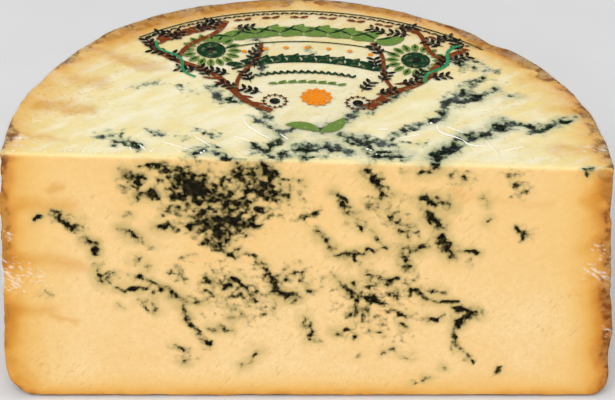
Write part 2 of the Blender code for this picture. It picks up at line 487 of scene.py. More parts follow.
# %% Draw the veins
# Each stroke: half width, strength, then x and height of the points it runs through, in mm from the drum's
# axis.
VEINS_ON_FRONT = (
    (4.2, 1.15, -60, 92, -56, 91),
    (2.4, 0.6, -61, 88, -57, 86),
    (3.4, 1.15, -57, 84, -50, 84),
    (1.2, 1.0, -56, 96, -48, 97),
    (2.2, 1.0, -52, 95, -44, 94),
    (3.4, 0.8, -45, 92, -40, 88),
    (5.6, 1.15, -38, 89, -33, 86),
    (5.6, 1.05, -42, 83, -32, 81, -21, 80),
    (3.4, 0.85, -46, 79, -38, 77),
    (4.4, 1.0, -36, 74, -27, 73, -18, 72),
    (4.8, 0.95, -23, 95, -15, 91),
    (3.4, 0.85, -16, 88, -11, 82),
    (2.2, 0.65, -9, 90, -2, 88),
    (4.5, 0.6, -20, 77, -12, 77),
    (2.2, 0.8, -50, 71, -44, 70),
    (1.4, 0.8, -48, 76),
    (2.0, 0.75, -33, 65, -29, 62),
    (2.6, 0.8, -29, 67, -23, 62),
    (1.2, 0.6, -22, 62, -16, 58),
    (1.3, 0.7, -41, 57, -38, 58),
    (2.2, 0.95, -61, 70, -57, 66),
    (1.0, 0.6, -55, 64, -53, 62),
    (1.4, 0.7, -60, 76),
    (1.4, 0.7, -58, 57, -56, 57),
    (2.4, 0.95, -54, 54),
    (2.2, 0.7, -70, 54, -69, 48),
    (1.8, 0.7, -65, 51),
    (1.8, 0.8, -59, 50, -55, 49),
    (1.3, 0.95, -65, 45, -58, 45, -53, 47),
    (1.2, 1.1, -53, 48, -45, 43, -42, 41),
    (1.5, 1.0, -52, 43),
    (1.6, 0.85, -51, 40, -50, 36),
    (1.6, 0.6, -57, 40, -54, 37),
    (1.0, 0.6, -63, 38),
    (1.6, 0.8, -91, 73, -88, 74),
    (2.6, 0.7, -84, 76, -80, 73, -77, 71),
    (1.7, 1.0, -75, 67, -72, 64, -71, 60),
    (2.2, 0.55, -44, 53, -42, 50),
    (2.8, 0.85, -35, 49, -27, 47),
    (1.8, 0.9, -34, 44),
    (1.4, 0.8, -25, 51, -21, 46, -18, 41),
    (2.4, 0.9, -17, 57, -12, 50, -9, 46),
    (2.6, 1.1, -9, 44, -5, 42),
    (2.4, 0.55, -8, 52, -2, 51),
    (1.1, 0.6, -3, 55),
    (2.2, 0.9, -42, 41, -36, 40),
    (1.8, 1.0, -42, 38, -40, 34),
    (3.4, 0.6, -29, 42, -22, 35),
    (1.6, 1.0, -26, 33),
    (2.0, 0.85, -32, 29, -28, 28),
    (0.9, 0.6, -40, 32, -36, 26, -34, 21),
    (1.8, 0.6, -46, 22, -41, 19),
    (1.6, 1.0, -42, 15),
    (1.1, 0.5, -45, 17, -37, 17),
    (1.5, 0.7, -22, 14, -17, 20),
    (1.0, 0.6, -11, 37),
    (1.6, 0.5, -88, 43),
    (2.4, 0.75, 20, 95, 23, 91),
    (2.2, 0.95, 23, 90, 25, 84, 25, 81),
    (1.4, 0.6, 28, 85, 30, 83),
    (2.0, 0.9, 37, 94, 44, 93),
    (2.6, 0.5, 48, 91, 53, 90),
    (1.0, 0.6, 32, 93),
    (1.8, 0.65, 21, 80, 25, 78),
    (1.4, 0.8, 9, 84, 13, 79, 17, 75),
    (1.8, 0.7, 16, 73, 18, 71),
    (1.3, 0.8, 21, 69, 24, 65, 27, 61),
    (1.4, 1.0, 11, 59, 20, 59),
    (1.3, 0.9, 20, 60, 26, 62),
    (1.5, 0.9, 16, 57),
    (1.9, 1.0, 4, 69, 8, 61),
    (1.6, 0.5, 0, 74, 3, 77),
    (3.0, 0.6, 28, 75, 35, 71),
    (1.6, 0.8, 31, 71, 33, 67),
    (2.8, 0.9, 37, 82, 46, 80),
    (2.8, 1.15, 40, 77, 44, 70),
    (3.0, 1.15, 44, 66, 48, 58),
    (1.5, 0.9, 49, 61, 57, 60),
    (1.4, 0.7, 55, 57),
    (1.6, 0.95, 33, 61, 39, 62),
    (1.6, 0.8, 32, 58, 33, 54),
    (1.7, 0.9, 59, 83, 60, 80),
    (2.0, 1.0, 60, 73),
    (2.6, 0.9, 71, 70, 73, 67),
    (3.2, 0.45, 68, 91, 70, 86),
    (2.0, 1.1, 92.5, 92.8, 95.5, 93.6),
    (1.0, 0.5, 18, 55, 24, 48),
    (1.9, 1.0, 15, 48),
    (1.7, 0.9, 21, 49, 31, 49),
    (1.6, 0.7, 29, 44, 30, 41),
    (1.3, 0.8, 10, 49, 15, 43, 17, 38),
    (2.0, 0.9, 18, 41, 24, 39),
    (1.6, 0.85, 17, 36, 18, 32),
    (3.0, 0.5, 19, 36, 23, 33),
    (2.0, 0.85, 29, 37, 34, 35),
    (1.5, 1.0, 33, 30),
    (1.5, 0.95, 35, 46, 40, 41, 43, 41),
    (1.5, 0.7, 41, 46, 45, 44),
    (1.5, 1.05, 42, 41, 50, 39),
    (1.4, 0.8, 41, 33, 44, 34),
    (2.3, 0.95, 50, 36, 57, 35, 51, 31),
    (1.7, 0.95, 50, 30, 50, 25),
    (2.2, 0.75, 50, 23, 56, 17),
    (1.4, 0.85, 21, 29, 24, 28),
    (1.2, 0.9, 9, 27, 14, 28),
    (1.4, 0.85, 16, 25),
    (1.9, 0.7, -1, 32, 2, 25),
    (2.2, 0.75, 2, 24),
    (1.6, 0.7, 28, 21, 35, 17),
    (1.3, 0.9, 25, 19),
    (1.4, 0.6, 18, 17),
    (1.3, 0.75, 45, 13),
    (1.5, 1.0, 40, 8),
    (1.0, 0.6, 35, 6),
    (1.9, 0.9, 65, 11),
    (2.4, 0.6, -2, 48, 1, 46),
    (1.4, 0.4, 5, 48),
    (5, 1.05, -38, 71, -27, 67),
    (3.4, 0.95, -33, 65, -25, 60),
    (4.5, 1.1, -16, 94, -11, 90),
    (13, 1.03, -40, 88, -26, 80),
    (9, 0.9, -36, 75, -22, 71),
    (10, 0.9, -20, 92, -12, 84),
    (5, 0.22, -28, 47, -16, 42),
    (5, 0.22, 17, 45, 28, 42),
    (5, 0.22, 19, 35, 25, 33),
    (5, 0.3, 27, 76, 33, 71),
)
# The same for the top: x and distance behind the front.
VEINS_ON_TOP = (
    (4.7, 0.6, 53, 64, 62, 58),
    (2.0, 0.6, 60, 54, 54, 47),
    (3.5, 0.8, 54, 46, 48, 38),
    (2.8, 0.85, 47, 36, 46, 30, 41, 26),
    (2.5, 0.85, 40, 25, 31, 18, 27, 12),
    (2.5, 0.75, 50, 40, 58, 43, 64, 47),
    (1.4, 0.7, 68, 44, 72, 43),
    (3.1, 1.0, 90, 30, 84, 27, 78, 25),
    (3.4, 1.1, 76, 24, 68, 26, 62, 24),
    (3.6, 1.15, 60, 20, 52, 16),
    (3.7, 1.2, 49, 12, 44, 6, 42, 1),
    (3.1, 0.8, 33, 44, 24, 37, 17, 31),
    (2.8, 0.85, 16, 30, 10, 22, 4, 19),
    (3.1, 0.9, 10, 17, 16, 14, 20, 10),
    (2.8, 0.8, 20, 8, 31, 7),
    (2.2, 0.5, 30, 12, 38, 12),
    (2.7, 0.75, -69, 14, -62, 13),
    (3.1, 0.95, -61, 11, -56, 6),
    (1.7, 0.9, -63, 7),
    (2.5, 0.8, -52, 15, -47, 14),
    (2.0, 0.6, -41, 12),
    (2.7, 0.6, -37, 15, -30, 15),
    (2.7, 1.0, -38, 3, -32, 4, -27, 1),
    (1.4, 0.5, -41, 6, -30, 8),
    (2.5, 1.05, -11, 17, -8, 15),
    (2.5, 0.8, -18, 9, -12, 3),
    (2.0, 0.85, -17, 4, -9, 12, -4, 20),
    (3.1, 0.85, -33, 44, -28, 37, -24, 36),
    (1.9, 0.6, -24, 40, -17, 32, -13, 26),
    (1.7, 0.5, -57, 44, -50, 46),
    (1.6, 0.45, -42, 44, -38, 40),
    (2.3, 0.7, -18, 64, -15, 55),
    (2.7, 0.6, -19, 78, -14, 70),
    (1.9, 0.6, 0, 70, 3, 64),
    (2.3, 0.6, 36, 70, 40, 62),
    (2.0, 0.5, -1, 2, 6, 4),
    (3.2, 0.95, -4, 8, 6, 10, 14, 7),
    (2.8, 0.9, 12, 12, 20, 14, 28, 11),
    (2.4, 0.8, 23, 5, 34, 4),
    (2.2, 0.8, -9, 4, 1, 3),
    (3.0, 1.0, -17, 25, -13, 20, -10, 16),
    (1.4, 1.0, 93.8, 0.4, 95, 0.8),
)
# The same again for brown smears that run in from the crust, on the top and on the front.
SMEARS_ON_TOP = (
    (3.0, 0.9, -88, 30, -74, 28),
    (2.2, 0.7, -97, 12, -80, 9),
    (3.2, 0.8, -72, 66, -60, 58, -50, 56),
    (3.0, 0.5, -80, 48, -70, 45),
    (4.0, 0.8, 96, 12, 84, 12),
    (2.4, 0.6, 80, 55, 72, 54),
    (3.0, 0.5, 66, 72, 60, 66),
    (2.6, 0.5, 92, 36, 80, 36),
    (4.0, 1.3, -68, 71, -56, 81, -42, 89),
    (3.4, 1.2, -36, 92, -22, 97, -8, 99),
    (2.4, 1.0, 6, 99, 34, 94),
    (3.0, 0.8, 56, 78, 74, 62),
)
SMEARS_ON_FRONT = (
    (4.0, 0.9, -101, 76, -92, 79, -80, 79),
    (5.0, 1.0, -103, 84, -102, 60),
    (4.0, 0.8, -102, 36, -102, 24),
    (3.6, 0.8, -101, 59, -88, 57, -78, 55),
    (3.0, 0.7, -99, 37, -86, 37),
    (1.0, 0.8, -86, 35, -77, 31),
    (0.9, 0.8, -85, 85, -81, 87),
    (4.0, 0.6, 101, 66, 92, 62),
    (3.4, 0.7, 101, 88, 94, 82),
    (3.0, 1.0, 101, 95, 98, 92),
    (1.6, 0.35, 50, 84, 70, 80, 82, 80),
)
# Faint changes of the paste's colour, by size
CLOUDS = ((24 * MM, 0.5), (11 * MM, 0.35), (5 * MM, 0.2), (2.2 * MM, 0.15))
# How the brown comes and goes, by size, in mm of depth
CRUST_VARIES = ((28 * MM, 3.4), (11 * MM, 3.2), (4 * MM, 2.4))
CRUST_FADES = 9 * MM  # how deep under the crust such changes reach
SMEARS_BROWN = 6.5  # a smear has the colour of a place this many mm nearer to the crust
BROWNER_TO_RIGHT_AND_REAR = np.array((1.6, 3.0))  # and so do the drum's right end and its rear
RAGGED = ((6 * MM, 0.25), (3 * MM, 0.30))  # how noise breaks up the veins, by size
BENDS = ((6 * MM, 1.5 * MM), (2.5 * MM, 1.2 * MM))  # how far noise pushes the strokes, by size
# How the strokes' half widths, in mm, become those of the mould, of the haze round it, and of the smears
MOULD_NARROWER, MOULD_WIDER, HAZE_WIDER, SMEAR_WIDER = 0.76, 0.2, 3.0, 1.5


def bent(places, seed):
    """The places pushed about by noise, so that a straight stroke comes out wavering."""
    return places + np.stack([lumps(places, BENDS, seed + 10 * axis) for axis in range(3)], axis=-1)


def over_both_cuts(places, on_front, on_top, weights, **widths):
    """Strokes of the front and strokes of the top, each kept to its own cut."""
    front = np.where(weights[:, 0] > 0.02, drawn(places[:, [0, 2]], on_front, **widths), -1)
    top = np.where(weights[:, 1] > 0.02, drawn(places[:, :2] - (0, AXIS_Y), on_top, **widths), -1)
    return np.maximum(front, top)


wavering = bent(places, seed=31)
veins = VEINS_ON_FRONT, VEINS_ON_TOP
mould = over_both_cuts(wavering, *veins, weights, times=MOULD_NARROWER, wider=MOULD_WIDER)
mould += lumps(places, RAGGED, seed=41)
haze = over_both_cuts(wavering, *veins, weights, wider=HAZE_WIDER)
smear = over_both_cuts(wavering, SMEARS_ON_FRONT, SMEARS_ON_TOP, weights, wider=SMEAR_WIDER)
cloud = lumps(places + 2.5 * (wavering - places), CLOUDS, seed=71)
browner = lumps(wavering, CRUST_VARIES, seed=81)
browner -= (places[:, :2] - (0, AXIS_Y)) @ BROWNER_TO_RIGHT_AND_REAR / DRUM_RADIUS
browner -= SMEARS_BROWN * np.maximum(smear, 0)
browned = np.maximum(under_crust / MM + browner * np.exp(-under_crust / CRUST_FADES), 0)
print("share of the cuts under mould:", round(float((mould > 0.5).sum() / (weights[:, 2] < 0.5).sum()), 3))

# %% [markdown]
# ## The cheese
#
# Relief comes in three kinds. The cuts are nearly flat, with a fine crumb and a hollow wherever mould has
# grown. The crust is craggy: noise folded by its absolute value makes sharp valleys between rounded knobs,
# which is what a dried, scraped stilton coat looks like. A Displace modifier could do this too, but not with
# a kind of relief for each face. Nearly all of it cuts inwards from the form, and none stands out as far as
# the film, so the two never touch.

# %% Relief and mesh of the cheese
FLOOR_GAP = 0.25 * MM
CUT_DEPTH = 0.15 * MM  # how far the cuts lie inside the form
MOULD_HOLLOW = 0.5 * MM
CRUMB = ((4.5 * MM, 0.10 * MM), (2.0 * MM, 0.08 * MM))
CRAGS = ((11 * MM, 1.1 * MM), (5.5 * MM, 0.8 * MM), (2.9 * MM, 0.45 * MM))


def crags(places):
    """How deep the valleys between knobs are: one less noise's absolute value, cubed, at each size."""
    return sum(
        depth * (1 - np.abs(smooth_noise(places, size, 51 + turn))) ** 3
        for turn, (size, depth) in enumerate(CRAGS)
    )


def cheese_relief(places, weights, mould):
    """Crumb less the hollows on the cuts, and crags on the crust, blended by the weights."""
    cuts = lumps(places, CRUMB, seed=61) - CUT_DEPTH - MOULD_HOLLOW * smooth_step(mould, 0.45, 1.1)
    return (weights[:, 0] + weights[:, 1]) * cuts - weights[:, 2] * crags(places)


relief = cheese_relief(places, weights, mould)
cheese_places = places + relief[:, None] * normals
cheese_places[:, 2] = np.maximum(cheese_places[:, 2], FLOOR_GAP)
cheese_mesh = mesh_of("cheese_body", cheese_places, face_corners, face_counts)
cheese = link(bpy.data.objects.new("cheese_body", cheese_mesh))


def store(mesh, name, values):
    """Keeps one number for each point, for materials to read."""
    mesh.attributes.new(name, "FLOAT", "POINT").data.foreach_set("value", values.astype(np.float32))


for name, values in {
    "mould": mould,
    "haze": haze,
    "smear": smear,
    "cloud": cloud,
    "under_crust": browned,
    "on_top": weights[:, 1],
    "valley": crags(places) / MM,
    "on_crust": smooth_step(weights[:, 2], 0.3, 0.8),
}.items():
    store(cheese_mesh, name, values)
print("cheese:", len(cheese_mesh.vertices), "points")

# %% [markdown]
# ## The ragged edge of mould
#
# Mould spreads along cracks in the paste, so its edge is ragged and never a smooth line. The cells are too
# coarse for that, and finer cells would cost millions of triangles. The smooth drawn value is made ragged in
# the shader instead, by a node group whose result can then be cut at several levels.


# %% Group: a ragged value
CURD_SIZE = 3.2 * MM


def ragged_group():
    """Makes a smooth drawn value ragged: fine noise is added, and closeness to the cracks between curds. The
    cracks are the edges of Voronoi cells in a warped space."""
    numbers = {"Value": 0.0, "Grain": 1 * MM, "Raggedness": 1.0, "Cracks": 0.0}
    tree, given, result = add_group("ragged value", numbers, {"Value": "Float"})
    grain = math(tree, "SUBTRACT", noise(tree, given["Grain"], 2.4, 0.52), 0.5)
    value = math(tree, "MULTIPLY_ADD", grain, given["Raggedness"], given["Value"])
    place = place_on_object(tree)
    warp = node(tree, "TexNoise", {"Vector": place, "Scale": 1 / CURD_SIZE, "Detail": 2.0}).outputs["Color"]
    moved = node(tree, "VectorMath", {0: warp, 1: (CURD_SIZE,) * 3, 2: place}, operation="MULTIPLY_ADD")
    voronoi = {"Vector": moved.outputs[0], "Scale": 1 / CURD_SIZE}
    cells = node(tree, "TexVoronoi", voronoi, feature="DISTANCE_TO_EDGE")
    crack = math(tree, "SUBTRACT", 0.2, cells.outputs["Distance"])
    tree.links.new(math(tree, "MULTIPLY_ADD", crack, given["Cracks"], value), result["Value"])
    return tree


RAGGED_GROUP = ragged_group()


def ragged(tree, value, grain, raggedness, cracks):
    made = node(tree, "Group", node_tree=RAGGED_GROUP)
    for name, number in {"Grain": grain, "Raggedness": raggedness, "Cracks": cracks}.items():
        made.inputs[name].default_value = number
    tree.links.new(value, made.inputs["Value"])
    return made.outputs["Value"]


print("ragged group:", len(RAGGED_GROUP.nodes), "nodes")

# %% [markdown]
# ## Paste, mould and crust as one material
#
# The three grow into each other. A material for each would meet the next in a hard line, so they are one
# material whose colour is mixed in layers: the paste with the ochre under its crust, then curds, grain and
# knife marks, then on the top a painted sheen in streaks and a painted highlight along the front edge, then
# brown spots and smears, then the haze, bloom, fringe and core of the mould, and the crust's coat last, with
# painted shade in its valleys. Most colours have a copy for the front and one for the top. The top's copies
# are cooler, and lighter in the paste: the film's haze and the light from above, painted into the colour.

# %% The cheese's material
# The paste's colour by its depth under the crust: millimetres, then red, green and blue.
PASTE_ON_FRONT = (
    (0, 118, 54, 6),
    (1.5, 168, 88, 12),
    (2.7, 190, 110, 22),
    (4.3, 208, 138, 44),
    (6.8, 226, 168, 80),
    (10.6, 236, 190, 114),
    (16, 241, 205, 140),
    (26, 244, 213, 158),
)
# On the top the same paste is lighter and cooler: painted haze of the film and painted light from above.
PASTE_ON_TOP_WITH_PAINTED_HAZE = (
    (0, 140, 84, 30),
    (1.2, 204, 132, 50),
    (2.4, 222, 156, 68),
    (4.5, 232, 178, 90),
    (8, 238, 198, 120),
    (13, 242, 212, 144),
    (22, 245, 226, 168),
    (36, 246, 236, 192),
)


def knife_ticks(tree, cloud):
    """Short ticks where the knife dragged the crumb: noise stretched along a rising slant, in patches."""
    marks = streaky(tree, 1.1 * MM, 0.3, turn_y=52)
    patches = between(tree, cloud, -0.1, 0.3)
    return math(tree, "MULTIPLY", between(tree, marks, 0.58, 0.7), patches)


def cheese_material():
    """Layers of colour over the paste, and a bump from the same masks."""
    material, tree, sockets = add_material("paste, mould and crust")
    mould, haze, smear, cloud = (attribute(tree, name) for name in ("mould", "haze", "smear", "cloud"))
    depth, top, crust = (attribute(tree, name) for name in ("under_crust", "on_top", "on_crust"))
    on_front = math(tree, "SUBTRACT", 1.0, top)

    # The top's copy of each colour is cooler, and lighter in the paste: painted film haze and light from
    # above.
    colour = mixed(tree, top, ramp(tree, depth, PASTE_ON_FRONT), ramp(tree, depth, PASTE_ON_TOP_WITH_PAINTED_HAZE))
    deeper = mixed(tree, top, rgb(234, 184, 104), rgb(240, 218, 142))
    colour = mixed(tree, between(tree, cloud, -0.6, 0.5, 0.35, 0.0), colour, deeper)
    curds = noise(tree, 2.2 * MM, 3.0, 0.6)
    curd_edge = mixed(tree, top, rgb(220, 170, 88), rgb(236, 216, 158))
    colour = mixed(tree, between(tree, curds, 0.3, 0.7, 0.0, 0.16), colour, curd_edge)
    grain = noise(tree, 0.8 * MM, 2.0)
    colour = mixed(tree, between(tree, grain, 0.4, 0.65, 0.0, 0.14), colour, curd_edge)
    place = node(tree, "SeparateXYZ", {"Vector": place_on_object(tree)}).outputs
    high_up = math(tree, "MULTIPLY", between(tree, place["Z"], 20 * MM, 90 * MM, 0.0, 0.45), on_front)
    high_up = math(tree, "MULTIPLY", high_up, between(tree, depth, 2.0, 12.0))
    colour = mixed(tree, high_up, colour, rgb(234, 188, 112))
    ticks = knife_ticks(tree, cloud)
    colour = mixed(tree, math(tree, "MULTIPLY", ticks, 0.35), colour, rgb(216, 158, 84))
    # Painted sheen of the film on the top: lighter streaks, and deeper lanes of paste colour between them.
    sheen_streaks_on_paste = streaky(tree, 4.5 * MM, 0.3, turn_z=-38)
    inner = math(tree, "MULTIPLY", between(tree, depth, 5.0, 16.0), top)
    painted_sheen_lighter = math(tree, "MULTIPLY", between(tree, sheen_streaks_on_paste, 0.48, 0.66, 0.0, 0.5), inner)
    colour = mixed(tree, painted_sheen_lighter, colour, rgb(250, 243, 212))
    yellower_between_sheen = math(tree, "MULTIPLY", between(tree, sheen_streaks_on_paste, 0.34, 0.5, 0.5, 0.0), inner)
    colour = mixed(tree, yellower_between_sheen, colour, rgb(240, 218, 144))
    # Painted highlight: a band of stronger colour on the top along its front edge, for the light the rounded
    # edge catches.
    painted_edge_highlight = math(tree, "MULTIPLY", between(tree, place["Y"], AXIS_Y, AXIS_Y + 5 * MM, 0.75, 0.0), top)
    colour = mixed(tree, painted_edge_highlight, colour, rgb(246, 222, 146))

    spots = between(tree, noise(tree, 3 * MM, 3.0, 0.6), 0.45, 0.62, 0.0, 0.8)
    spots = math(tree, "MULTIPLY", spots, between(tree, depth, 0.8, 3.2, 1.0, 0.0))
    colour = mixed(tree, spots, colour, rgb(112, 54, 14))
    smeared = between(tree, math(tree, "MULTIPLY_ADD", cloud, 0.5, smear), -0.1, 1.0, 0.0, 0.55)
    colour = mixed(tree, smeared, colour, rgb(212, 146, 52))

    near = between(tree, math(tree, "MULTIPLY_ADD", cloud, 0.5, haze), 0.0, 0.9, 0.0, 0.75)
    colour = mixed(tree, near, colour, mixed(tree, top, rgb(196, 170, 106), rgb(190, 192, 152)))
    deep = between(tree, haze, 0.7, 1.05, 0.0, 0.7)
    colour = mixed(tree, deep, colour, mixed(tree, top, rgb(124, 104, 48), rgb(130, 136, 102)))
    growth = ragged(tree, mould, 2.4 * MM, 3.2, 0.8)
    bloom = mixed(tree, top, rgb(160, 142, 92), rgb(142, 150, 120))
    colour = mixed(tree, between(tree, growth, -0.2, 0.7, 0.0, 0.82), colour, bloom)
    fringe = mixed(tree, top, rgb(86, 76, 36), rgb(64, 80, 54))
    colour = mixed(tree, between(tree, growth, 0.36, 0.84, 0.0, 0.92), colour, fringe)
    cores = between(tree, growth, 0.7, 0.98)
    moss = between(tree, noise(tree, 1.3 * MM, 2.0), 0.5, 0.68)
    core_front = mixed(tree, moss, rgb(8, 5, 0), rgb(52, 44, 8))
    core_top = mixed(tree, moss, rgb(3, 8, 2), rgb(40, 56, 24))
    colour = mixed(tree, cores, colour, mixed(tree, top, core_front, core_top))

    wrinkles = noise(tree, 5 * MM, 6.0, 0.68)
    folded = math(tree, "MULTIPLY_ADD", wrinkles, -2.4, attribute(tree, "valley"))
    coat = mixed(tree, between(tree, cloud, -0.5, 0.5), rgb(162, 98, 40), rgb(204, 146, 80))
    # Painted shade: the coat darkens in the valleys between the crags and where the wrinkles are low.
    coat = mixed(tree, between(tree, folded, -0.9, 0.5), coat, rgb(98, 56, 24))
    powder = math(tree, "MULTIPLY_ADD", cloud, 0.5, math(tree, "MULTIPLY", folded, -1.0))
    coat = mixed(tree, between(tree, powder, 0.55, 1.3, 0.0, 0.8), coat, rgb(214, 188, 148))
    colour = mixed(tree, crust, colour, coat)
    tree.links.new(colour, sockets["Base Color"])

    tree.links.new(between(tree, crust, 0.0, 1.0, 0.5, 0.8), sockets["Roughness"])
    sockets["Specular IOR Level"].default_value = 0.03
    height = math(tree, "MULTIPLY_ADD", cores, -0.6, math(tree, "MULTIPLY", curds, 0.8))
    height = math(tree, "MULTIPLY_ADD", ticks, -0.6, height)
    height = math(tree, "MULTIPLY_ADD", grain, -0.35, height)
    height = math(tree, "MULTIPLY_ADD", math(tree, "MULTIPLY", wrinkles, crust), 8.0, height)
    bump = node(tree, "Bump", {"Height": height, "Strength": 0.5, "Distance": 0.4 * MM})
    tree.links.new(bump.outputs["Normal"], sockets["Normal"])
    return material


cheese_mesh.materials.append(cheese_material())
print("cheese's material:", len(cheese_mesh.materials[0].node_tree.nodes), "nodes")

# %% [markdown]
# ## The film
#
# Clear film is stretched tight round the slice. It bridges the crumb and the crags, so a copy of the cheese
# pushed outwards would be wrong. It keeps the plain form and lies a hair outside it, as one closed skin of
# the same half drum with coarser cells. Glass would bend the light and darken the cheese under it, so its
# shader lets light straight through, except for what a clear sheet mirrors, which is little when seen face
# on and more at a slant, and for a diffuse white haze. Where the film is creased that haze is partly the
# real whitening of creased film and partly painted highlight, and on the top it is a painted sheen.

# %% Make the film
FILM_CELLS = np.array((200, 80, 96))
FILM_FOOT_ROWS = 14
FILM_GAP = 0.08 * MM
# Where the film is crinkled: half width, strength and points as x and height, then as x and distance behind.
CRINKLES_ON_FRONT = (
    (6, 0.7, -103, 56, -98, 47),
    (4, 0.6, -100, 55, -89, 50),
    (3, 0.5, -104, 70, -100, 68),
    (4, 0.8, 95, 53, 103, 49),
    (3, 0.6, 97, 62, 103, 58),
    (2, 0.5, 99, 30, 102, 27),
)
CRINKLES_ON_TOP = (
    (4, 0.6, -98, 8, -90, 10),
    (3, 0.5, -92, 22, -86, 20),
    (4, 0.5, 92, 14, 98, 12),
)
FILM_IOR = 1.16  # low, since film pressed on moist paste mirrors less than film in air

film_lattice, film_corners, film_counts = skin_of_block(FILM_CELLS)
film_places, film_normals, film_weights, _ = half_drum(film_lattice, FILM_CELLS, FILM_FOOT_ROWS)
film_places += FILM_GAP * film_normals
film_places[:, 2] = np.maximum(film_places[:, 2], 0)
film_mesh = mesh_of("film", film_places, film_corners, film_counts)
film = link(bpy.data.objects.new("film", film_mesh))
store(film_mesh, "on_top", film_weights[:, 1])
store(film_mesh, "crinkle", over_both_cuts(film_places, CRINKLES_ON_FRONT, CRINKLES_ON_TOP, film_weights))


def mixed_shader(tree, share, first, second):
    made = node(tree, "MixShader", {0: share})
    tree.links.new(first, made.inputs[1])
    tree.links.new(second, made.inputs[2])
    return made.outputs[0]


def clear_shader(tree, roughness, bump, haze):
    """A thin clear sheet: a mix of straight through and mirrored, by the angle of view, under a white haze.
    Only its outer side does this. Seen from inside it is clear, so that light gets in and out freely."""
    outside = math(tree, "SUBTRACT", 1.0, node(tree, "NewGeometry").outputs["Backfacing"])
    fresnel = node(tree, "Fresnel", {"IOR": FILM_IOR, "Normal": bump}).outputs[0]
    through = node(tree, "BsdfTransparent", {"Color": (1, 1, 1, 1)}).outputs[0]
    mirrored = node(tree, "BsdfAnisotropic", {"Roughness": roughness, "Normal": bump}).outputs[0]
    # A diffuse white: a faint milkiness of the sheet, and on the film painted highlight and painted sheen
    # too.
    milky_and_painted_sheen = node(tree, "BsdfDiffuse", {"Color": (0.9, 0.9, 0.86, 1)}).outputs[0]
    sheet = mixed_shader(tree, math(tree, "MULTIPLY", fresnel, outside), through, mirrored)
    return mixed_shader(tree, math(tree, "MULTIPLY", haze, outside), sheet, milky_and_painted_sheen)


def film_material():
    """Clear, with soft ripples, white creases where it is crinkled, which are partly real whitening and
    partly painted highlight, and a painted streaky sheen on the top.
    """
    material = bpy.data.materials.new("clear film")
    material.use_nodes = True
    tree = material.node_tree
    tree.nodes.remove(tree.nodes["Principled BSDF"])
    ripples = noise(tree, 7 * MM, 3.0)
    bump = node(tree, "Bump", {"Height": ripples, "Strength": 0.6, "Distance": 0.5 * MM}).outputs["Normal"]
    # The white haze: partly the real whitening of creased film, partly painted highlight, and on the top a
    # painted sheen.
    creases = math(tree, "SUBTRACT", streaky(tree, 1.1 * MM, 0.22, -28, 28), 0.5)
    crinkled = math(tree, "MULTIPLY_ADD", creases, 4.0, attribute(tree, "crinkle"))
    streaks = between(tree, crinkled, 0.35, 1.2, 0.0, 0.45)
    sheen = between(tree, streaky(tree, 5 * MM, 0.22, -28, 28), 0.45, 0.72, 0.0, 0.1)
    streaks = math(tree, "MULTIPLY_ADD", sheen, attribute(tree, "on_top"), streaks)
    tree.links.new(clear_shader(tree, 0.12, bump, streaks), tree.nodes["Material Output"].inputs["Surface"])
    return material


film_mesh.materials.append(film_material())
print("film:", len(film_mesh.vertices), "points")

# %% [markdown]
# ## Thin shapes that lie on the top
#
# The label's sheet, everything printed on it and the film's folds are thin sheets that follow the upper
# cut. An image could show them, but its edges would blur close up. So they are shapes, and one function
# turns any grid of plan points into a closed solid. Most are strips: a centre line with a half width at
# each step. A leaf is a strip that swells and closes, a disc is one whose width follows a circle, and a vine
# is a long wavy one.

# %% Sheets and strips
STEPS = np.linspace(0, 1, 21)
CLOSED_HALF_WIDTH = 0.015  # in mm, where a strip closes to a point


def sheets_on_top(name, plans, level, thickness):
    """Closed thin sheets over the upper cut. plans has (sheet, row, column, xy) in metres from the drum's
    axis, rows to columns turning left, so the upper sides face up."""
    count, rows, columns, _ = plans.shape
    x, y = plans[..., 0], plans[..., 1]
    ground = top_height(x, y) + level
    layers = [np.stack((x, y + AXIS_Y, ground + lift), axis=-1) for lift in (0, thickness)]
    index = np.arange(2 * plans[..., 0].size).reshape(2, count, rows, columns)
    low, high = index
    upper = np.stack((high[:, :-1, :-1], high[:, 1:, :-1], high[:, 1:, 1:], high[:, :-1, 1:]), axis=-1)
    lower = np.stack((low[:, :-1, :-1], low[:, :-1, 1:], low[:, 1:, 1:], low[:, 1:, :-1]), axis=-1)
    rim_low, rim_high = (
        np.concatenate((grid[:, :-1, 0], grid[:, -1, :-1], grid[:, :0:-1, -1], grid[:, 0, :0:-1]), axis=1)
        for grid in index
    )
    ahead_low, ahead_high = np.roll(rim_low, -1, axis=1), np.roll(rim_high, -1, axis=1)
    rim = np.stack((rim_low, ahead_low, ahead_high, rim_high), axis=-1)
    faces = np.concatenate([side.reshape(-1, 4) for side in (upper, lower, rim)])
    points = np.concatenate([layer.reshape(-1, 3) for layer in layers])
    mesh = mesh_of(name, points, faces.ravel(), np.full(len(faces), 4))
    mesh.set_sharp_from_angle(angle=np.radians(40))
    return mesh


def strips(centres, half_widths):
    """Plans for strips: centre lines (strip, step, xy) and half widths (strip, step), in millimetres."""
    ahead = np.gradient(centres, axis=1)
    ahead /= np.linalg.norm(ahead, axis=-1, keepdims=True)
    left = np.stack((-ahead[..., 1], ahead[..., 0]), axis=-1)
    offsets = np.broadcast_to(half_widths, centres.shape[:2])[..., None, None] * np.array((-1, 1))[:, None]
    return (centres[:, :, None] + offsets * left[:, :, None]) * MM


def curve_through(*stops):
    """A smooth centre line through the stops, evenly stepped along the chords between them."""
    stops = np.array(stops, float).reshape(-1, 2)
    run = np.concatenate(([0], np.cumsum(np.linalg.norm(np.diff(stops, axis=0), axis=1))))
    places = np.stack([np.interp(STEPS * run[-1], run, stops[:, axis]) for axis in (0, 1)], axis=-1)
    for _ in range(3):
        places[1:-1] = (places[:-2] + 2 * places[1:-1] + places[2:]) / 4
    return places[None]


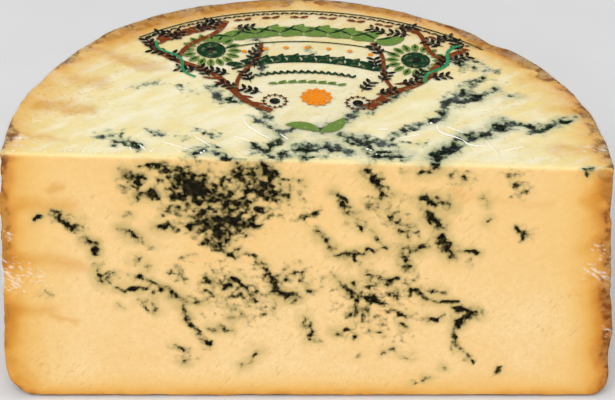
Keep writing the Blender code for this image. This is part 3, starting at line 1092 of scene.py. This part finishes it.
def spindle(half_width, sharpness):
    """Half widths that swell from a point and close again: half a sine wave to the power of sharpness."""
    return half_width * np.sin(np.pi * STEPS) ** sharpness + CLOSED_HALF_WIDTH


def discs(middles, radii):
    """Centre lines and half widths of round shapes: cosine steps across, and their sines as half widths."""
    radii = np.broadcast_to(radii, len(middles))[:, None]
    reach = -np.cos(np.pi * STEPS) * radii
    centres = middles[:, None] + np.stack((reach, 0 * reach), axis=-1)
    return centres, radii * np.sin(np.pi * STEPS) + CLOSED_HALF_WIDTH


def dots(middles, radius):
    return strips(*discs(np.asarray(middles, float), radius))


# %% [markdown]
# ## Folds of the film
#
# Where the film was gathered it has small folds, which catch the light as thin white curves. Near the front
# edge of the top there is a row of tiny blisters. As bumps in the film's shader they would only shine where
# a lamp happens to meet them, so each fold is a spindle of whitish film on top of the rest, and each
# blister is a dot of it. Their white is a painted highlight, over the slight whitening that folded film has.

# %% Make the folds
FOLD_LEVEL = 0.10 * MM
FOLD_THICKNESS = 0.16 * MM
# Each fold: half width, then the points it runs through, as x and distance behind the front in mm.
FOLD_GLINTS = (
    (0.32, -21.9, 25.2, -20, 20.2, -15.5, 15.2, -12.5, 13.3),
    (0.22, -24.4, 13.6, -19.0, 11.2),
    (0.22, -37.6, 13.2, -32.0, 7.2),
    (0.20, -9.2, 15.9, -6.2, 12.3),
    (0.28, 23.4, 20.1, 27.0, 20.4),
    (0.34, 43.5, 24.4, 43.2, 21, 45.6, 18.2, 48.6, 17, 51.8, 14.9),
    (0.38, 51.6, 15.0, 53.4, 12.4, 56, 11.6, 59, 12.0),
    (0.22, 46.6, 22.9, 52.2, 19.3),
    (0.14, 59.2, 15.6, 63, 7.2),
    (0.30, -55.6, 7.1, -53.4, 3.8),
    (0.24, -58.9, 5.9, -58.0, 3.4),
    (0.16, -48, 9, -38, 4.5),
    (0.14, 30, 15, 37, 17.5),
    (0.14, 64, 9, 72, 12),
)
BLISTER_GLINTS = (
    (0.45, -35.1, 3.1),
    (0.35, -34.2, 4.2),
    (0.45, 19.8, 8.0),
    (0.30, 21.0, 7.4),
    (0.25, 7.8, 3.5),
    (0.45, 41.4, 24.8),
    (0.25, 40.2, 24.2),
    (0.40, -51.6, 3.3),
    (0.25, -50.9, 4.6),
    (0.30, 22.8, 5.1),
    (0.30, -12.3, 12.4),
    (0.30, -97.0, 1.6),
    (0.35, -95.1, 9.2),
    (0.20, -86.4, 1.8),
    (0.25, -81.5, 2.9),
    (0.18, -79.9, 2.2),
    (0.28, -78.1, 2.6),
    (0.30, -73.9, 2.2),
    (0.20, -72.1, 2.8),
    (0.28, -69.8, 1.9),
    (0.18, -68.6, 2.4),
    (0.22, -66.8, 1.7),
    (0.20, -62.0, 2.2),
    (0.22, 11, 3.0),
    (0.20, 14, 2.6),
    (0.18, 17, 3.4),
)


def folds_plan():
    curves = [strips(curve_through(*line), spindle(half_width, 0.7)) for half_width, *line in FOLD_GLINTS]
    blisters = [dots([place], radius) for radius, *place in BLISTER_GLINTS]
    return np.concatenate(curves + blisters)


def fold_glint_material():
    material, _, sockets = add_material("folded film")
    # Painted highlight: the folds are near white in their own colour, so they shine under any lamp.
    sockets["Base Color"].default_value = rgb(255, 252, 240)
    sockets["Roughness"].default_value = 0.25
    return material


folds_mesh = sheets_on_top("film_folds", folds_plan(), FOLD_LEVEL, FOLD_THICKNESS)
folds_mesh.materials.append(fold_glint_material())
folds = link(bpy.data.objects.new("film_folds", folds_mesh))
print("folds:", len(FOLD_GLINTS), "and", len(BLISTER_GLINTS), "blisters")

# %% [markdown]
# ## The label's sheet
#
# A clear sheet cut as a sector with a rounded tip. Its arc follows the drum. A Boolean could cut it from a
# disc, but would leave long slivers. Here spokes fan out from the tip and rows run from the tip to the arc,
# so the cells are even and the sheet bends with the cheese.

# %% Make the sheet
LABEL_TIP = np.array((4.0, 12.0)) * MM  # where the two straight sides would meet, from the drum's axis
LABEL_SIDES = np.radians((48.8, 136.4))
LABEL_ARC_RADIUS = 94.5 * MM
LABEL_TIP_ROUNDING = 6 * MM
SHEET_LEVEL = 0.12 * MM
SHEET_THICKNESS = 0.04 * MM


def sector_plan(rows, spokes):
    """The sector's plan points: rows from the tip to the arc, spokes from its right side to its left. A spoke
    starts on the near side of a circle that touches both straight sides, and ends on the drum's circle."""
    way, turn = np.meshgrid(np.linspace(0, 1, rows), np.linspace(0, 1, spokes), indexing="ij")
    half = (LABEL_SIDES[1] - LABEL_SIDES[0]) / 2
    lean = half * (2 * turn - 1)
    angle = LABEL_SIDES[0] + half + lean
    ahead = np.stack((np.cos(angle), np.sin(angle)), axis=-1)
    along = ahead @ LABEL_TIP
    reach = -along + np.sqrt(along**2 + LABEL_ARC_RADIUS**2 - LABEL_TIP @ LABEL_TIP)
    centre = LABEL_TIP_ROUNDING / np.sin(half)
    under_root = LABEL_TIP_ROUNDING**2 - (centre * np.sin(lean)) ** 2
    start = centre * np.cos(lean) - np.sqrt(np.maximum(under_root, 0))
    return LABEL_TIP + (start + (reach - start) * way)[..., None] * ahead


sheet_mesh = sheets_on_top("label_sheet", sector_plan(48, 64)[None], SHEET_LEVEL, SHEET_THICKNESS)
sheet = link(bpy.data.objects.new("label_sheet", sheet_mesh))


def sheet_material():
    """Clear like the film, with slower ripples and a faint even haze."""
    material = bpy.data.materials.new("clear label")
    material.use_nodes = True
    tree = material.node_tree
    tree.nodes.remove(tree.nodes["Principled BSDF"])
    bump = node(tree, "Bump", {"Height": noise(tree, 14 * MM), "Strength": 0.4, "Distance": 0.4 * MM})
    shader = clear_shader(tree, 0.1, bump.outputs["Normal"], 0.03)
    tree.links.new(shader, tree.nodes["Material Output"].inputs["Surface"])
    return material


sheet_mesh.materials.append(sheet_material())
print("label's sheet:", len(sheet_mesh.vertices), "points")

# %% [markdown]
# ## Motifs for the print
#
# The design is made of a few motifs: leaves, flowers, twigs, vines and plain lines. Each is a function that
# gives strips, so that one motif can be set anywhere, at any size, in any ink.


# %% Motifs
def polar(radius, degrees):
    """Plan places from a radius and an angle round the drum's axis, in millimetres."""
    turn = np.radians(degrees)
    return np.stack(np.broadcast_arrays(radius * np.cos(turn), radius * np.sin(turn)), axis=-1).astype(float)


def leaves(bases, headings, length, width, bend=0.0):
    """Pointed leaves that start at the bases and grow along the headings, in degrees."""
    bases = np.asarray(bases, float)
    turn = np.radians(np.broadcast_to(headings, len(bases))[:, None] + bend * (STEPS - 0.5))
    centres = bases[:, None] + length * STEPS[:, None] * np.stack((np.cos(turn), np.sin(turn)), axis=-1)
    return strips(centres, spindle(width / 2, 0.8))


def flower(middle, petals, inner, outer, width):
    """Petals that stand round a middle."""
    turns = np.arange(petals) * 360 / petals
    return leaves(np.asarray(middle, float) + polar(inner, turns), turns, outer - inner, width)


def arcs(radius, low, high, half_width, middle=(0, 0)):
    """Plain lines along a circle."""
    return strips(np.asarray(middle, float) + polar(radius, low + (high - low) * STEPS)[None], half_width)


def vine(start, end, waves, swing, half_width):
    """A wavy stem from start to end: a sine wave across the straight way between them."""
    start, end = np.asarray(start, float), np.asarray(end, float)
    way = end - start
    left = np.array((-way[1], way[0])) / np.linalg.norm(way)
    sway = swing * np.sin(2 * np.pi * waves * STEPS)
    return strips((start + STEPS[:, None] * way + sway[:, None] * left)[None], half_width)


def twigs(places, length, leaf):
    """Thin stems with three pairs of small leaves each."""
    x, y, headings = np.array(places, float).T
    bases, ways = np.stack((x, y), axis=-1), polar(length, headings)
    parts = [leaves(bases, headings, length, 0.7)]
    for share in (0.25, 0.55, 0.85):
        parts += [leaves(bases + share * ways, headings + lean, leaf, 0.42 * leaf) for lean in (50, -50)]
    return np.concatenate(parts)


def rows_of_leaves(radius, turns, lean, length, width):
    """Leaves that lean along a circle, in pairs to both sides of it."""
    places = polar(radius, turns)
    return np.concatenate([leaves(places, turns + way * lean, length, width, 20) for way in (1, -1)])


print("a flower of 12 petals has", len(flower((0, 0), 12, 3.0, 5.6, 2.2)), "strips")

# %% [markdown]
# ## The label's print
#
# A plain design in the colours that such labels use: greens, brown, black and orange. Its two sides are
# nearly alike, as a wreath's are, and a garland and borders follow the arc. Each ink is one mesh, a little
# above the last, as inks printed one after another are, so no two of them share a plane.

# %% Print the label
ROSETTES = np.array(((-33, 67), (37, 64)))
SUN_PLACE = (3, 39)
SIDE_FLOWERS = ((-11, 36), (17, 36))
GARLAND_TURNS = np.arange(73, 110, 6)
BORDER_TURNS = np.arange(54, 128, 2.1)
# Small twigs at the two sides: x, distance behind the drum's axis, heading.
TWIGS_AT_LEFT = (
    (-15, 41, 160), (-19, 47, 110), (-23, 43, 150), (-26, 52, 160), (-33, 50, 120), (-37, 54, 170),
    (-44, 58, 110), (-47, 64, 160), (-52, 67, 120), (-47, 72, 60), (-40, 80, 20), (-45, 76, 170),
    (-26, 81, 10), (-18, 56, 95), (-20, 63, 60), (-28, 84, 170),
)
TWIGS_AT_RIGHT = (
    (18, 43, 60), (23, 42, 20), (25, 49, 70), (31, 48, 25), (36, 51, 60), (41, 53, 15), (45, 59, 70),
    (49, 64, 30), (52, 70, 100), (47, 73, 150), (43, 77, 20), (36, 80, 170), (28, 80, 150), (24, 57, 100),
    (26, 66, 120), (30, 84, 10),
)


INKS = {
    "leaf_green": (
        rgb(106, 136, 56),
        [
            rows_of_leaves(78, GARLAND_TURNS, 62, 11.5, 5.4),
            *[flower(place, 16, 5.6, 10.5, 2.6) for place in ROSETTES],
            leaves([(4, 18), (4, 18)], (148, 32), 12, 4.6, 30),
            rows_of_leaves(48, np.arange(78, 106, 4), 70, 3.4, 1.5),
        ],
    ),
    "dark_green": (
        rgb(4, 52, 20),
        [
            *[dots([place], 5.0) for place in ROSETTES],
            *[flower(place, 16, 6.6, 9.6, 0.9) for place in ROSETTES],
            rows_of_leaves(80, GARLAND_TURNS, 62, 7.5, 1.1),
            rows_of_leaves(61, np.arange(69, 114, 4.6), 50, 6.8, 3.2),
            arcs(61, 68, 115, 0.5),
            rows_of_leaves(53.5, np.arange(74, 110, 2.4), 35, 2.6, 1.1),
            arcs(74, 66, 115, 0.3),
            arcs(93.9, 50, 128, 0.3),
        ],
    ),
    "brown": (
        rgb(120, 54, 4),
        [
            vine((-12, 30), (-54, 71), 1.5, 1.8, 1.2),
            vine((21, 32), (54, 71), 1.5, 1.8, 1.2),
            vine((-24, 42), (-16, 72), 1, 1.4, 0.7),
            vine((30, 44), (22, 74), 1, 1.4, 0.7),
            vine((-44, 62), (-28, 86), 1, 1.4, 0.9),
            vine((47, 64), (34, 86), 1, 1.4, 0.9),
            leaves([(26, 36), (29, 39), (32, 43), (35, 46), (38, 50)], 190, 9, 1.5),
            leaves([(-20, 35), (-24, 39), (-28, 43), (-32, 47), (-36, 50)], -10, 6, 1.3),
            *[flower(place, 12, 2.8, 4.8, 0.8) for place in SIDE_FLOWERS],
            rows_of_leaves(89.6, BORDER_TURNS[::3], 80, 3.4, 1.4),
            rows_of_leaves(86.5, np.arange(112, 126, 3.4), 50, 6.0, 2.6),
        ],
    ),
    "black": (
        rgb(10, 10, 6),
        [
            twigs(TWIGS_AT_LEFT, 7.5, 3.2),
            twigs(TWIGS_AT_RIGHT, 7.5, 3.2),
            rows_of_leaves(91.8, BORDER_TURNS, 65, 2.0, 0.8),
            *[dots([place], 1.8) for place in SIDE_FLOWERS],
            *[arcs(3.9, 0, 360, 0.2, place) for place in SIDE_FLOWERS],
            *[dots([place], 1.6) for place in ROSETTES],
        ],
    ),
    "orange": (
        rgb(242, 138, 8),
        [
            flower(SUN_PLACE, 12, 3.0, 5.6, 2.2),
            dots([SUN_PLACE], 3.4),
            dots(polar(70, np.arange(72, 110, 6)), 0.9),
        ],
    ),
    "bright_green": (
        rgb(30, 142, 86),
        [vine((40, 50), (52, 74), 1.5, 1.6, 0.6), vine((-38, 50), (-52, 72), 1.5, 1.6, 0.5)],
    ),
}
INK_STEP = 0.012 * MM  # from the underside of one ink to that of the next
INK_THICKNESS = 0.8 * INK_STEP
INK_GAP = 0.01 * MM  # between the sheet and the first ink


def ink_material(name, colour):
    """A flat ink, a little worn: noise lets some of the pale cheese colour through."""
    material, tree, sockets = add_material(name + " ink")
    worn = between(tree, noise(tree, 1.5 * MM, 3.0), 0.52, 0.72, 0.0, 0.25)
    tree.links.new(mixed(tree, worn, colour, rgb(214, 204, 150)), sockets["Base Color"])
    sockets["Roughness"].default_value = 0.4
    sockets["Specular IOR Level"].default_value = 0.1
    return material


label_pieces = [sheet]
for turn, (name, (colour, plans)) in enumerate(INKS.items()):
    level = SHEET_LEVEL + SHEET_THICKNESS + INK_GAP + turn * INK_STEP
    ink_mesh = sheets_on_top("ink_" + name, np.concatenate(plans), level, INK_THICKNESS)
    ink_mesh.materials.append(ink_material(name, colour))
    label_pieces.append(link(bpy.data.objects.new("ink_" + name, ink_mesh)))
    print(name, "ink:", sum(len(plan) for plan in plans), "shapes")

# %% [markdown]
# ## Hand over to the frame
#
# Each piece rides on the one body, and the solid that it replaces is hidden. The cheese and its film
# replace the solid `cheese`. The sheet and its print replace the solid `label`.

# %% Ride, replace and finish
for slot, pieces in {"cheese": [cheese, film, folds], "label": label_pieces}.items():
    for piece in pieces:
        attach(piece, "root")
        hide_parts(slot)

bpy.context.view_layer.update()
